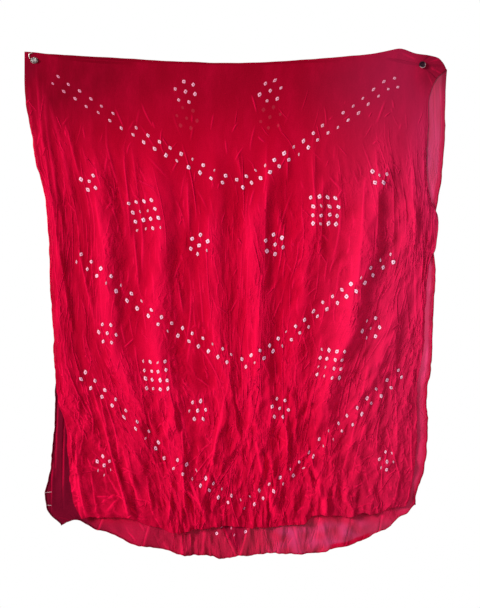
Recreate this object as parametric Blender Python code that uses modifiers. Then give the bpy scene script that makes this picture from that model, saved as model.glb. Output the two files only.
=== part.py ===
"""A bandhani cloth hung by its top corners from two small wall studs.

One length of thin cotton is folded once across, over its own top edge, so that it hangs in two layers a
little apart: a shorter front layer, and a back layer that shows below it and past its side edges. Each
stud passes through both layers, and the left one has a short bent wire beside it.

Metres, +Z up, +X to the right as the cloth is faced. The wall is the plane y = 0 and the cloth hangs on
its -Y side. The origin is the end of the left stud, where it meets the wall.
"""

import math

import bmesh
import bpy
import numpy as np

MM = 0.001

# Sheet: its thickness, and where the middle of each layer hangs from the wall at the top edge.
SHEET_THICK = 1.5 * MM
BACK_OFF_WALL = 4.5 * MM
LAYER_PITCH = 3.2 * MM
LAYER_PITCH_AT_HEM = 7.0 * MM

# Grid of the sheet: faces down each layer, faces round the turn at the top edge, and faces across in
# each gap from the left edge, by the crest of each leaning fold, to the right edge.
FACES_DOWN = 19
FACES_ROUND_TURN = 4
FACES_BETWEEN_CRESTS = (9, 6, 7, 7, 7, 6, 6, 5, 5)
FACES_ACROSS = sum(FACES_BETWEEN_CRESTS)

# Studs, through holes in both layers.
LEFT_STUD = (0.0, 0.0)
RIGHT_STUD = (843 * MM, -10 * MM)
SHANK_RADIUS = 2.0 * MM
CLEARANCE = 0.3 * MM
ROUND_SIDES = 24
LEFT_HEAD_RADIUS = 8.8 * MM
LEFT_HEAD_CROWN = 5.2 * MM
LEFT_HEAD_THICK = 6.0 * MM
LEFT_HEAD_SIDES = 7
LEFT_HEAD_SQUASH = 0.84
GROOVE_WIDTH = 1.5 * MM
GROOVE_DEPTH = 1.4 * MM
GROOVE_ANGLES = (28, 96)
WIRE_RADIUS = 0.8 * MM

# Side edges of the two layers: how far down, then how far across each edge hangs, in millimetres from
# the left stud.
SECTIONS = np.array([
    # down, front left, back left, front right, back right
    (-20, -21, -21, 898, 898),
    (16, -21, -20, 897, 897),
    (40, -21, -18, 874, 895),
    (87, -18, -13, 857, 893),
    (148, -7, -2, 855, 892),
    (224, 6, 11, 852, 888),
    (304, 26, 30, 861, 876),
    (345, 31, 36, 878, 868),
    (404, 34, 41, 871, 866),
    (450, 34, 41, 856, 870),
    (520, 38, 44, 850, 867),
    (600, 44, 50, 847, 864),
    (677, 46, 50, 835, 860),
    (730, 53, 47, 829, 853),
    (790, 70, 44, 830, 855),
    (850, 76, 40, 829, 850),
    (905, 80, 31, 824, 841),
    (945, 86, 25, 815, 829),
    (970, 93, 27, 806, 827),
    (1010, 113, 61, 800, 826),
])

# Top edge and the two hems: share of the width from the left, then how far down each hangs there, in
# millimetres.
EDGES = np.array([
    # share, top edge, front hem, back hem
    (0.00, -20, 992, 1007),
    (0.03, -18, 991, 997),
    (0.06, -15, 991, 1002),
    (0.10, -13, 991, 1018),
    (0.15, -10, 993, 1028),
    (0.20, -8, 1007, 1049),
    (0.25, -5, 1016, 1057),
    (0.30, -2, 1026, 1062),
    (0.35, 1, 1016, 1073),
    (0.40, 2, 1012, 1073),
    (0.45, 4, 1010, 1080),
    (0.50, 4, 1012, 1076),
    (0.56, 3, 1013, 1071),
    (0.62, 0, 1008, 1068),
    (0.68, -4, 1006, 1069),
    (0.71, -6, 988, 1068),
    (0.76, -10, 985, 1061),
    (0.82, -15, 990, 1049),
    (0.87, -24, 981, 1034),
    (0.89, -27, 984, 1026),
    (0.93, -16, 977, 1010),
    (0.97, -9, 970, 989),
    (1.00, 16, 968, 965),
])

# Main folds: the five heights of the table's columns, then how far across each fold's crest is at each
# of them, its half width and its rise, in millimetres. The folds lean in from both studs.
FOLD_DOWN = (195, 391, 586, 781, 977)
FOLDS = (
    # across at each of the five heights, half width, rise
    (22, 52, 52, 74, 100, 15, 9),
    (106, 145, 145, 210, 291, 25, 17),
    (215, 256, 252, 284, 332, 27, 20),
    (360, 375, 388, 406, 386, 24, 13),
    (464, 469, 464, 469, 460, 26, 21),
    (584, 582, 553, 551, 516, 24, 15),
    (675, 697, 671, 608, 586, 27, 19),
    (779, 807, 762, 699, 653, 26, 18),
    (848, 846, 829, 770, 731, 21, 13),
    (868, 864, 858, 822, 785, 15, 9),
)
FOLDS_START_DOWN = 110
FOLDS_FULL_DOWN = 420
BACK_FOLD_SHARE = 0.45
LEANING_FOLDS = FOLDS[1:-1]


def make_material(name, colour, roughness, metallic):
    """A plain Principled surface."""
    material = bpy.data.materials.new(name)
    material.use_nodes = True
    shader = material.node_tree.nodes["Principled BSDF"]
    shader.inputs["Base Color"].default_value = (*colour, 1.0)
    shader.inputs["Roughness"].default_value = roughness
    shader.inputs["Metallic"].default_value = metallic
    return material


def new_collection(name):
    """An empty collection in the scene."""
    collection = bpy.data.collections.new(name)
    bpy.context.scene.collection.children.link(collection)
    return collection


def add_object(name, mesh_data, collection, material=None):
    """Link a mesh or curve as a named object with its material."""
    piece = bpy.data.objects.new(name, mesh_data)
    collection.objects.link(piece)
    if material is not None:
        mesh_data.materials.append(material)
    return piece


def smooth_step(value, start, end):
    """Rises from 0 at start to 1 at end, level at both."""
    share = np.clip((value - start) / (end - start), 0.0, 1.0)
    return share * share * (3.0 - 2.0 * share)


def smooth_line(knots, heights, value):
    """A smooth curve through a table's points, which never swings past them."""
    knots = np.asarray(knots, float)
    heights = np.asarray(heights, float)
    steps = np.diff(knots)
    rates = np.diff(heights) / steps
    before = rates[:-1]
    after = rates[1:]
    same_way = before * after > 0
    total = np.where(same_way, before + after, 1.0)
    slopes = np.concatenate([rates[:1], np.where(same_way, 2 * before * after / total, 0.0), rates[-1:]])
    value = np.clip(value, knots[0], knots[-1])
    index = np.clip(np.searchsorted(knots, value, side="right") - 1, 0, len(steps) - 1)
    step = steps[index]
    share = (value - knots[index]) / step
    inverse = 1.0 - share
    return (
        (1 + 2 * share) * inverse ** 2 * heights[index]
        + share * inverse ** 2 * step * slopes[index]
        + share ** 2 * (3 - 2 * share) * heights[index + 1]
        - share ** 2 * inverse * step * slopes[index + 1]
    )


def main_folds(across, down):
    """How far the main folds stand out at a place: a sum of soft ridges along the crests in the table."""
    relief = np.zeros_like(across)
    for *crest, half_width, rise in FOLDS:
        middle = smooth_line(FOLD_DOWN, crest, down / MM) * MM
        relief += rise * MM * np.exp(-((across - middle) / (half_width * MM)) ** 2)
    return relief * smooth_step(down, FOLDS_START_DOWN * MM, FOLDS_FULL_DOWN * MM)


def down_at(share, share_down, hem_column):
    """How far down a point of a layer hangs, straight from the top edge to the hem."""
    top = smooth_line(EDGES[:, 0], EDGES[:, 1], share) * MM + turn_radius()
    hem = smooth_line(EDGES[:, 0], EDGES[:, hem_column], share) * MM
    return top + (hem - top) * share_down


def layer_points(share_down, hem_column, left_column, right_column):
    """Across and down of one row of a layer, its grid columns running along the crests of the folds."""
    left_down = down_at(0.0, share_down, hem_column)
    right_down = down_at(1.0, share_down, hem_column)
    left = smooth_line(SECTIONS[:, 0], SECTIONS[:, left_column], left_down / MM)
    right = smooth_line(SECTIONS[:, 0], SECTIONS[:, right_column], right_down / MM)
    middle_down = down_at(0.5, share_down, hem_column)
    crests = [smooth_line(FOLD_DOWN, fold[:5], middle_down / MM) for fold in LEANING_FOLDS]
    knots = np.concatenate([[0], np.cumsum(FACES_BETWEEN_CRESTS)])
    across = smooth_line(knots, np.array([left, *crests, right]), np.arange(FACES_ACROSS + 1))
    down = down_at((across - left) / (right - left), share_down, hem_column)
    return across * MM, down


def turn_radius():
    """Radius of the sheet's outer face where it turns over the top edge."""
    return LAYER_PITCH / 2 + SHEET_THICK / 2


def sheet_row(row):
    """World points of one row of the sheet, from the back hem up, over the turn and down to the front hem."""
    pitch_growth = LAYER_PITCH_AT_HEM - LAYER_PITCH
    if row <= FACES_DOWN:
        share_down = 1.0 - row / FACES_DOWN
        across, down = layer_points(share_down, 3, 2, 4)
        depth = BACK_OFF_WALL + BACK_FOLD_SHARE * main_folds(across, down)
    elif row >= FACES_DOWN + FACES_ROUND_TURN:
        share_down = (row - FACES_DOWN - FACES_ROUND_TURN) / FACES_DOWN
        across, down = layer_points(share_down, 2, 1, 3)
        spread = pitch_growth * smooth_step(share_down, 0.1, 0.8)
        depth = BACK_OFF_WALL + LAYER_PITCH + spread + main_folds(across, down)
    else:
        angle = math.pi * (row - FACES_DOWN) / FACES_ROUND_TURN
        front = (1 - math.cos(angle)) / 2
        back_across, down = layer_points(0.0, 3, 2, 4)
        front_across, down = layer_points(0.0, 2, 1, 3)
        across = back_across + (front_across - back_across) * front
        down = down - LAYER_PITCH / 2 * math.sin(angle)
        depth = np.full_like(across, BACK_OFF_WALL + LAYER_PITCH * front)
    return np.stack([across, -depth, -down], axis=1)


def build_cloth(collection, cutters, material):
    """The folded sheet: a grid laid along its path, made solid, with a hole for each stud."""
    rows = 2 * FACES_DOWN + FACES_ROUND_TURN
    grid = bmesh.new()
    bmesh.ops.create_grid(grid, x_segments=FACES_ACROSS, y_segments=rows, size=1.0)
    points = np.stack([sheet_row(row) for row in range(rows + 1)])
    for vertex in grid.verts:
        column = round((vertex.co.x + 1) / 2 * FACES_ACROSS)
        row = round((vertex.co.y + 1) / 2 * rows)
        vertex.co = points[row, column]
    bmesh.ops.recalc_face_normals(grid, faces=grid.faces)
    mesh = bpy.data.meshes.new("bandhani_cloth")
    grid.to_mesh(mesh)
    grid.free()
    mesh.shade_smooth()
    cloth = add_object("bandhani_cloth", mesh, collection, material)
    shell = cloth.modifiers.new("thickness", "SOLIDIFY")
    shell.thickness = SHEET_THICK
    shell.offset = 0.0
    for side, (across, height) in (("left", LEFT_STUD), ("right", RIGHT_STUD)):
        cutter = build_hole_cutter(f"{side}_hole", across, height, cutters)
        hole = cloth.modifiers.new(f"{side}_hole", "BOOLEAN")
        hole.operation = "DIFFERENCE"
        hole.solver = "EXACT"
        hole.object = cutter


def build_hole_cutter(name, across, height, cutters):
    """A round cutter along Y through both layers, wider than the shank by the clearance."""
    reach = 2 * (BACK_OFF_WALL + LAYER_PITCH)
    outline = bmesh.new()
    bmesh.ops.create_cone(
        outline, cap_ends=True, segments=ROUND_SIDES, radius1=SHANK_RADIUS + CLEARANCE,
        radius2=SHANK_RADIUS + CLEARANCE, depth=2 * reach,
    )
    return add_cutter(name, outline, (across, 0.0, height), (math.radians(90), 0.0, 0.0), cutters)


def add_cutter(name, shape, place, turn, cutters):
    """Keep a shape as a hidden wire object that only cuts."""
    mesh = bpy.data.meshes.new(name)
    shape.to_mesh(mesh)
    shape.free()
    cutter = add_object(name, mesh, cutters)
    cutter.location = place
    cutter.rotation_euler = turn
    cutter.hide_render = True
    cutter.display_type = "WIRE"
    return cutter


def head_back():
    """Distance from the wall to the back of a stud's head, just clear of the front layer."""
    return BACK_OFF_WALL + LAYER_PITCH + SHEET_THICK / 2 + CLEARANCE


def build_turned(name, profile, place, collection, material):
    """A turned piece: its profile, as radius and distance from the wall, swept about the Y axis."""
    mesh = bpy.data.meshes.new(name)
    points = [(radius, 0.0, distance) for radius, distance in profile]
    mesh.from_pydata(points, [(i, i + 1) for i in range(len(points) - 1)], [])
    piece = add_object(name, mesh, collection, material)
    piece.location = (place[0], 0.0, place[1])
    piece.rotation_euler = (math.radians(90), 0.0, 0.0)
    screw = piece.modifiers.new("turn", "SCREW")
    screw.steps = ROUND_SIDES
    screw.render_steps = ROUND_SIDES
    screw.use_merge_vertices = True
    screw.merge_threshold = 0.00001
    screw.use_smooth_shade = True
    return piece


def build_left_stud(collection, cutters, material):
    """The left stud: a straight shank with a faceted head, flattened a little and crossed by two grooves."""
    shank_end = head_back() + LEFT_HEAD_THICK / 2
    stud = build_turned(
        "left_stud",
        [(0.0, shank_end), (SHANK_RADIUS, shank_end), (SHANK_RADIUS, 0.0), (0.0, 0.0)],
        LEFT_STUD, collection, material,
    )
    head = bmesh.new()
    bmesh.ops.create_cone(
        head, cap_ends=True, segments=LEFT_HEAD_SIDES, radius1=LEFT_HEAD_RADIUS,
        radius2=LEFT_HEAD_CROWN, depth=LEFT_HEAD_THICK,
    )
    bmesh.ops.scale(head, vec=(1.0, LEFT_HEAD_SQUASH, 1.0), verts=head.verts)
    middle = head_back() + LEFT_HEAD_THICK / 2
    facing = (math.radians(90), 0.0, 0.0)
    head_object = add_cutter("left_head", head, (LEFT_STUD[0], -middle, LEFT_STUD[1]), facing, cutters)
    join = stud.modifiers.new("head", "BOOLEAN")
    join.operation = "UNION"
    join.solver = "EXACT"
    join.object = head_object
    crown = head_back() + LEFT_HEAD_THICK
    for number, angle in enumerate(GROOVE_ANGLES):
        bar = bmesh.new()
        bmesh.ops.create_cube(bar, size=1.0)
        bmesh.ops.scale(bar, vec=(4 * LEFT_HEAD_RADIUS, 2 * GROOVE_DEPTH, GROOVE_WIDTH), verts=bar.verts)
        place = (LEFT_STUD[0], -crown, LEFT_STUD[1])
        groove = add_cutter(f"groove_{number}", bar, place, (0.0, math.radians(angle), 0.0), cutters)
        cut = stud.modifiers.new(f"groove_{number}", "BOOLEAN")
        cut.operation = "DIFFERENCE"
        cut.solver = "EXACT"
        cut.object = groove


def build_right_stud(collection, material):
    """The right stud: a turned cap with a raised rim, a dished face and a small button in its middle."""
    back = head_back()
    profile = [
        (0.0, back + 4.2 * MM), (1.5 * MM, back + 3.9 * MM), (2.1 * MM, back + 2.6 * MM),
        (4.6 * MM, back + 2.4 * MM), (5.6 * MM, back + 4.4 * MM), (6.6 * MM, back + 4.6 * MM),
        (7.5 * MM, back + 3.4 * MM), (7.6 * MM, back + 1.6 * MM), (6.6 * MM, back),
        (SHANK_RADIUS, back), (SHANK_RADIUS, 0.0), (0.0, 0.0),
    ]
    build_turned("right_stud", profile, RIGHT_STUD, collection, material)


def build_wire(collection, material):
    """The left stud's wire: a short bow from near the top edge down to the side of the head."""
    # The bow's ends and the way it leans between them, in millimetres from the stud.
    top = np.array((-4.6, 16.0))
    foot = np.array((-9.7, 3.6))
    lean = np.array((-4.2, 2.4))
    distance = head_back() + WIRE_RADIUS
    curve = bpy.data.curves.new("left_stud_wire", "CURVE")
    curve.dimensions = "3D"
    curve.bevel_depth = WIRE_RADIUS
    curve.bevel_resolution = 2
    curve.use_fill_caps = True
    spline = curve.splines.new("POLY")
    shares = np.linspace(0.0, 1.0, 9)
    spline.points.add(len(shares) - 1)
    for point, share in zip(spline.points, shares):
        across, height = top + (foot - top) * share + lean * math.sin(math.pi * share)
        place = (LEFT_STUD[0] + across * MM, -distance, LEFT_STUD[1] + height * MM)
        point.co = (*place, 1.0)
    add_object("left_stud_wire", curve, collection, material)


def main():
    """Clear the scene and build the cloth, its studs and the wire."""
    for old in list(bpy.data.objects):
        bpy.data.objects.remove(old, do_unlink=True)
    parts = new_collection("hung_bandhani_cloth")
    cutters = new_collection("cutters")
    crimson = make_material("crimson_cotton", (0.50, 0.004, 0.03), 0.85, 0.0)
    silver = make_material("silver_metal", (0.62, 0.60, 0.56), 0.32, 1.0)
    dark = make_material("dark_metal", (0.30, 0.27, 0.30), 0.28, 1.0)
    pale_wire = make_material("pale_wire", (0.80, 0.74, 0.66), 0.40, 1.0)
    build_cloth(parts, cutters, crimson)
    build_left_stud(parts, cutters, silver)
    build_wire(parts, pale_wire)
    build_right_stud(parts, dark)


main()
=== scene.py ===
"""Dresses a bandhani cloth hung by its top corners from two small wall studs.

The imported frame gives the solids, in metres: +Z up, +X to the right as the cloth is faced, and the wall at
y = 0 with the cloth on its -Y side. The cloth is made again here as one thin sheet along the same folds,
with its creases, rolled hems and undyed dots, and the studs and the wire keep their solids and get metal
finishes. Lengths in the tables are millimetres from the left stud's foot unless a name says otherwise.
"""

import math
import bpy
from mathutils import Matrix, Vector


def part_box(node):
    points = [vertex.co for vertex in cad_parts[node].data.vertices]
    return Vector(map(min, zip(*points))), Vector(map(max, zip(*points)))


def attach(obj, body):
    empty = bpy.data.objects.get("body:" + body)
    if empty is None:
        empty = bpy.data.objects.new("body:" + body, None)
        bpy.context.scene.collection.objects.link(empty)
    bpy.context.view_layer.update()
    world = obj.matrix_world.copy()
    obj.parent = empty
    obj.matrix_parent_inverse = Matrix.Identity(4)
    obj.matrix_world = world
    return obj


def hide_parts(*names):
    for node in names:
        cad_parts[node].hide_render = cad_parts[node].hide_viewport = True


bl_info = {
    "name": "Hung Bandhani Cloth",
    "version": (1, 0, 0),
    "blender": (4, 5, 0),
    "location": "3D View > Sidebar > Bandhani",
    "description": "Makes a tie-dyed cotton cloth hung in two layers from two wall studs",
    "category": "Object",
}

import bpy
import numpy as np
from mathutils import Vector

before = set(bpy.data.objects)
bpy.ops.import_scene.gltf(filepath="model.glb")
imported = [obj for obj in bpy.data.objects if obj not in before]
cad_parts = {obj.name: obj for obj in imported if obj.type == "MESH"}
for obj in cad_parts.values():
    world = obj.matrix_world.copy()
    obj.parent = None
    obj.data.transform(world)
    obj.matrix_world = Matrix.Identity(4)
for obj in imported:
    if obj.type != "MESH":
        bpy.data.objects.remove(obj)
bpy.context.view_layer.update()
MM = 0.001

# How the two layers hang: the back one's distance from the wall, the gap between them at the top edge and at
# the hem, and the distance from the wall past which the crests are flattened.
BACK_OFF_WALL = 4.5
LAYER_PITCH = 3.2
LAYER_PITCH_AT_HEM = 7.0
FOLD_EDGE_RADIUS = 2.35
DEEP_ENOUGH = 35.0

# Grid of the sheet.
COLUMNS = 281
FRONT_ROWS = 206
TURN_ROWS = 5
BACK_ROWS = 104
ROLL_STEPS = 6
LANES_BETWEEN_LINES = (9, 6, 7, 7, 7, 6, 6, 5, 5)
LANE_WIDTH = 15.0

SECTIONS = np.array([
    # down, front left edge, back left edge, front right edge, back right edge
    (-20, -21, -21, 898, 898), (16, -21, -20, 897, 897), (40, -21, -18, 874, 895),
    (87, -18, -13, 857, 893), (148, -7, -2, 855, 892), (224, 6, 11, 852, 888),
    (304, 26, 30, 861, 876), (345, 31, 36, 878, 868), (404, 34, 41, 871, 866),
    (450, 34, 41, 856, 870), (520, 38, 44, 850, 867), (600, 44, 50, 847, 864),
    (677, 46, 50, 835, 860), (730, 53, 47, 829, 853), (790, 70, 44, 830, 855),
    (850, 76, 40, 829, 850), (905, 80, 31, 824, 841), (945, 86, 25, 815, 829),
    (970, 93, 27, 806, 827), (1010, 113, 61, 800, 826),
])

EDGES = np.array([
    # share of the width from the left, top edge, front hem, back hem
    (0.00, -20, 992, 1007), (0.03, -18, 991, 997), (0.06, -15, 991, 1002), (0.10, -13, 991, 1018),
    (0.15, -10, 993, 1028), (0.20, -8, 1007, 1049), (0.25, -5, 1016, 1057), (0.30, -2, 1026, 1062),
    (0.35, 1, 1016, 1073), (0.40, 2, 1012, 1073), (0.45, 4, 1010, 1080), (0.50, 4, 1012, 1076),
    (0.56, 3, 1013, 1071), (0.62, 0, 1008, 1068), (0.68, -4, 1006, 1069), (0.71, -6, 988, 1068),
    (0.76, -10, 985, 1061), (0.82, -15, 990, 1049), (0.87, -24, 981, 1034), (0.89, -27, 984, 1026),
    (0.93, -16, 977, 1010), (0.96, -12, 970, 989), (0.98, -7, 969, 982), (0.993, 5, 968, 970),
    (1.00, 18, 968, 965),
])

FOLD_DOWN = (195, 391, 586, 781, 977)
FOLDS = (
    # across at each of the five heights, half width, rise
    (22, 52, 60, 88, 112, 15, 9),
    (132, 158, 169, 229, 212, 25, 16),
    (260, 278, 271, 306, 310, 26, 17),
    (394, 392, 401, 431, 371, 24, 11),
    (535, 480, 488, 488, 525, 26, 18),
    (612, 599, 577, 560, 570, 24, 7),
    (764, 724, 685, 629, 627, 28, 20),
    (840, 816, 777, 711, 690, 25, 12),
    (850, 844, 836, 798, 770, 19, 9),
    (866, 866, 860, 836, 812, 15, 7),
)
LANE_LINES = (
    # across at each of the five heights, for the grid's lanes between the side edges
    (106, 145, 145, 210, 291),
    (215, 256, 252, 284, 332),
    (360, 375, 388, 406, 386),
    (464, 469, 464, 469, 460),
    (584, 582, 553, 551, 516),
    (675, 697, 671, 608, 586),
    (779, 807, 762, 699, 653),
    (848, 846, 829, 770, 731),
)
FOLDS_START_DOWN = 110
FOLDS_FULL_DOWN = 420
FOLDS_FADE_DOWN = 600
FOLDS_FADED_DOWN = 880
BACK_FOLD_SHARE = 0.45

CREASES = (
    # across and down at the head, across and down at the foot, half width, rise
    (11, 130, 63, 456, 7, 3.0), (65, 130, 100, 260, 6, 2.5), (156, 195, 169, 260, 6, 2.0),
    (195, 195, 210, 391, 7, 3.0), (215, 195, 245, 456, 6, 3.0), (332, 260, 338, 391, 7, 3.0),
    (440, 195, 451, 260, 6, 2.5), (505, 195, 499, 521, 7, 3.0), (531, 325, 542, 391, 6, 3.0),
    (551, 195, 549, 260, 6, 3.0), (607, 195, 609, 391, 6, 3.0), (629, 260, 620, 456, 6, 3.0),
    (718, 260, 698, 521, 9, 6.0), (748, 195, 742, 456, 6, 4.0), (779, 195, 781, 456, 6, 3.0),
    (820, 195, 830, 586, 8, 5.0), (842, 391, 840, 716, 8, 5.0), (803, 456, 820, 651, 5, 3.0),
    (783, 586, 786, 846, 7, 5.0), (729, 651, 668, 911, 7, 4.0), (818, 781, 820, 911, 7, 5.0),
    (805, 846, 777, 977, 6, 4.0), (545, 716, 551, 911, 8, 5.0), (516, 781, 512, 977, 7, 4.0),
    (469, 846, 484, 977, 6, 4.0), (417, 716, 365, 977, 9, 6.0), (345, 716, 360, 781, 6, 3.0),
    (321, 846, 328, 977, 7, 6.0), (247, 911, 256, 977, 6, 5.0), (202, 846, 232, 977, 6, 5.0),
    (150, 781, 202, 977, 7, 6.0), (126, 911, 137, 977, 6, 4.0), (98, 716, 98, 781, 6, 3.0),
    (128, 716, 148, 781, 6, 4.0), (321, 920, 381, 983, 6, 6.0), (56, 404, 82, 586, 6, 4.0),
    (95, 404, 126, 547, 6, 4.0), (217, 373, 228, 499, 6, 4.0), (312, 477, 323, 547, 6, 4.0),
    (134, 304, 145, 382, 6, 3.0), (145, 738, 163, 816, 6, 4.0), (176, 872, 208, 992, 8, 8.0),
    (191, 838, 234, 981, 7, 5.0), (124, 890, 137, 981, 6, 4.0), (88, 838, 112, 985, 11, 9.0),
    (334, 893, 372, 985, 15, 8.0), (478, 820, 520, 1000, 12, 6.0), (600, 850, 634, 990, 12, 6.0),
    (299, 911, 293, 998, 6, 5.0), (458, 803, 471, 861, 6, 4.0), (549, 803, 555, 861, 6, 4.0),
    (664, 879, 655, 966, 6, 4.0), (733, 922, 751, 981, 6, 4.0), (2, 20, 30, 300, 9, 2.0),
    (14, 60, 70, 420, 10, 2.2), (-12, 70, 8, 300, 9, 2.2), (30, 80, 95, 330, 12, 2.0),
)

WEDGES = (
    # across and down at the point, across and down at the foot, width to its left and right there, rise there
    (117, 885, 139, 990, 6, 27, 12.0), (345, 820, 408, 935, 9, 38, 13.0), (506, 838, 516, 926, 30, 7, 11.0),
    (323, 925, 364, 992, 16, 7, 10.0), (506, 938, 512, 1012, 7, 38, 10.0), (740, 896, 754, 980, 7, 21, 8.0),
    (651, 908, 675, 975, 7, 19, 8.0), (204, 884, 226, 982, 6, 21, 9.0), (258, 890, 282, 968, 6, 17, 8.0),
    (573, 838, 612, 914, 7, 20, 7.0), (96, 760, 84, 880, 6, 16, 6.0), (430, 700, 446, 790, 7, 22, 7.0),
    (560, 690, 548, 770, 18, 6, 7.0), (690, 760, 668, 850, 20, 6, 7.0), (800, 800, 792, 880, 16, 6, 6.0),
    (158, 600, 150, 690, 14, 5, 5.0), (610, 780, 596, 858, 6, 20, 6.0), (300, 700, 318, 800, 6, 20, 6.0),
)

BACK_CREASES = (
    # across and down at the head, across and down at the foot, half width, rise
    (404, 1000, 440, 1085, 9, 4.0), (466, 1000, 444, 1085, 9, 4.0), (250, 1000, 232, 1070, 10, 3.0),
    (330, 1000, 320, 1085, 9, 3.0), (560, 1000, 580, 1085, 10, 3.0), (690, 990, 668, 1080, 9, 3.0),
    (760, 960, 738, 1070, 9, 3.5), (150, 990, 130, 1040, 9, 3.0), (54, 690, 44, 905, 8, 3.0),
    (66, 740, 60, 960, 8, 3.5), (40, 850, 34, 985, 7, 3.0), (84, 860, 98, 990, 7, 3.0),
    (868, 40, 872, 190, 7, 1.5), (884, 50, 884, 210, 6, 1.5),
)

# Where the crinkles begin below the smooth top: share of the width, then how far down.
SMOOTH_TOP = np.array([
    # share, down
    (0.00, 30), (0.10, 70), (0.25, 130), (0.38, 190), (0.50, 225), (0.62, 185), (0.75, 120), (0.90, 70),
    (1.00, 40),
])

RIPPLES = (
    # wave's width across, its length down, height, seed, how much only crumpled parts have it
    (38, 260, 1.5, 11, 0.0),
    (60, 19, 0.5, 15, 1.0),
)

FACETS = (
    # cell's width across, its length down, height of its borders, seed, how much only crumpled parts have it
    (33, 130, 3.0, 71, 0.0),
    (19, 60, 1.8, 72, 0.35),
    (50, 66, 9.0, 73, 1.0),
    (25, 34, 2.4, 74, 1.0),
)

# Sharp creases at seeded places: how many there are, and how long, wide and high each may be.
CREASE_SEED = 5
CREASE_HALF_WIDTHS = (1.3, 2.7)
CREASE_KINDS = (
    # layer, how many, uppermost and lowest middle, shortest, longest, lowest rise, highest rise
    (0, 1900, 70, 1005, 14, 78, 0.6, 2.8),
    (0, 500, 640, 1005, 12, 46, 1.6, 3.4),
    (0, 200, 170, 930, 100, 240, 1.4, 3.4),
    (1, 180, 985, 1080, 20, 85, 0.8, 3.0),
)
PRESSED_LINES = (
    # across and down at the head, across and down at the foot, half width, rise
    (45, -8.5, 252, 3.8, 2.2, -2.2), (240, 3.4, 470, 9.4, 2.2, -2.0), (60, -2.0, 210, 9.5, 2.4, -1.3),
    (460, 9.4, 650, 1.0, 2.2, -1.6), (860, 3, 888, -4, 2.2, 0.8), (862, 16, 888, 30, 2.4, 0.9),
    (854, 26, 870, 60, 2.4, 0.6), (830, -3, 800, -16, 3.0, 0.8), (834, 8, 770, -4, 3.0, -2.2),
    (849, 0, 866, -14, 2.4, -1.6), (858, 10, 893, 14, 2.6, -1.8), (856, 20, 884, 46, 2.6, -1.4),
)

# The cloth laid flat: its width, the front layer's length, and how much further down the back layer's rows
# of dots lie.
FLAT_WIDTH = 950.0
FLAT_FRONT = 1040.0
FLAT_BACK = 1100.0
BACK_DOTS_LATER = 59.0

CHEVRONS = (
    # share at the apex, down at the apex, reach to the left and down there, to the right and down there, bend
    (0.511, 262, 0.430, 49, 0.4035, 59, 1.14),
    (0.508, 663, 0.4256, 450, 0.387, 460, 1.15),
    (0.494, 980, 0.412, 714, 0.449, 724, 1.18),
)
DOTS_AN_ARM = 16
LOWER_DOT_OUT = 0.0118
LOWER_DOT_DOWN = 16.5
UNTIED_DOTS = ((0, -1, 10), (0, 1, 10), (2, -1, 8))

MOTIFS = (
    # dots, share across on the left and on the right, down, radius or pitch, turn on the left and on the right
    (7, 0.398, 0.607, 66, 24.0, 13, -13),
    (5, 0.1234, 0.8727, 284, 19.0, 0, 0),
    (16, 0.2532, 0.7136, 347, 19.6, -13, 11),
    (7, 0.388, 0.5815, 409, 22.5, 39, -39),
    (7, 0.145, 0.8553, 625, 22.5, 0, 0),
    (16, 0.2757, 0.7517, 697, 19.2, -7, 5),
    (7, 0.3876, 0.6167, 778, 22.0, 2, 13),
    (7, 0.0984, 0.9146, 924, 20.5, 25, 19),
)
FIVE_ANGLES = (-40, 44, 110, -170)

# Two loose stitches over the back layer's left side hem: how far down, how long, and how far each climbs.
HEM_STITCHES = ((939.0, 15.0, 1.5), (966.0, 11.0, -1.0))
STITCH_RADIUS = 0.45
STITCH_LINE = np.array([
    # share of the length past the edge, distance off the cloth
    (-0.14, 0.2), (-0.13, 1.6), (-0.08, 2.9), (0.0, 3.3), (0.10, 2.7), (0.20, 1.1), (0.32, 0.5), (0.60, 0.5),
    (0.92, 0.45), (1.00, -1.0),
])

# The back layer's uppermost dots show faintly through the front, this far below the front's own.
GHOST_DOTS = 14


def smooth_step(value, start, end):
    """Rises from 0 at start to 1 at end as 3s^2 - 2s^3, where s is the share of the way, held to 0 and 1."""
    share = np.clip((value - start) / (end - start), 0.0, 1.0)
    return share * share * (3.0 - 2.0 * share)


def smooth_line(knots, heights, value):
    """A cubic through each pair of knots. A knot's slope is twice the product of the slopes beside it over
    their sum, or 0 where they turn, so the line never swings past the table."""
    knots = np.asarray(knots, float)
    heights = np.asarray(heights, float)
    steps = np.diff(knots)
    rates = np.diff(heights, axis=-1) / steps
    before, after = rates[..., :-1], rates[..., 1:]
    same_way = before * after > 0
    total = np.where(same_way, before + after, 1.0)
    inner = np.where(same_way, 2 * before * after / total, 0.0)
    slopes = np.concatenate([rates[..., :1], inner, rates[..., -1:]], axis=-1)
    value = np.clip(value, knots[0], knots[-1])
    index = np.clip(np.searchsorted(knots, value, side="right") - 1, 0, len(steps) - 1)
    step = steps[index]
    share = (value - knots[index]) / step
    rest = 1.0 - share
    return (
        (1 + 2 * share) * rest ** 2 * np.take(heights, index, axis=-1)
        + share * rest ** 2 * step * np.take(slopes, index, axis=-1)
        + share ** 2 * (3 - 2 * share) * np.take(heights, index + 1, axis=-1)
        - share ** 2 * rest * step * np.take(slopes, index + 1, axis=-1)
    )


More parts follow.
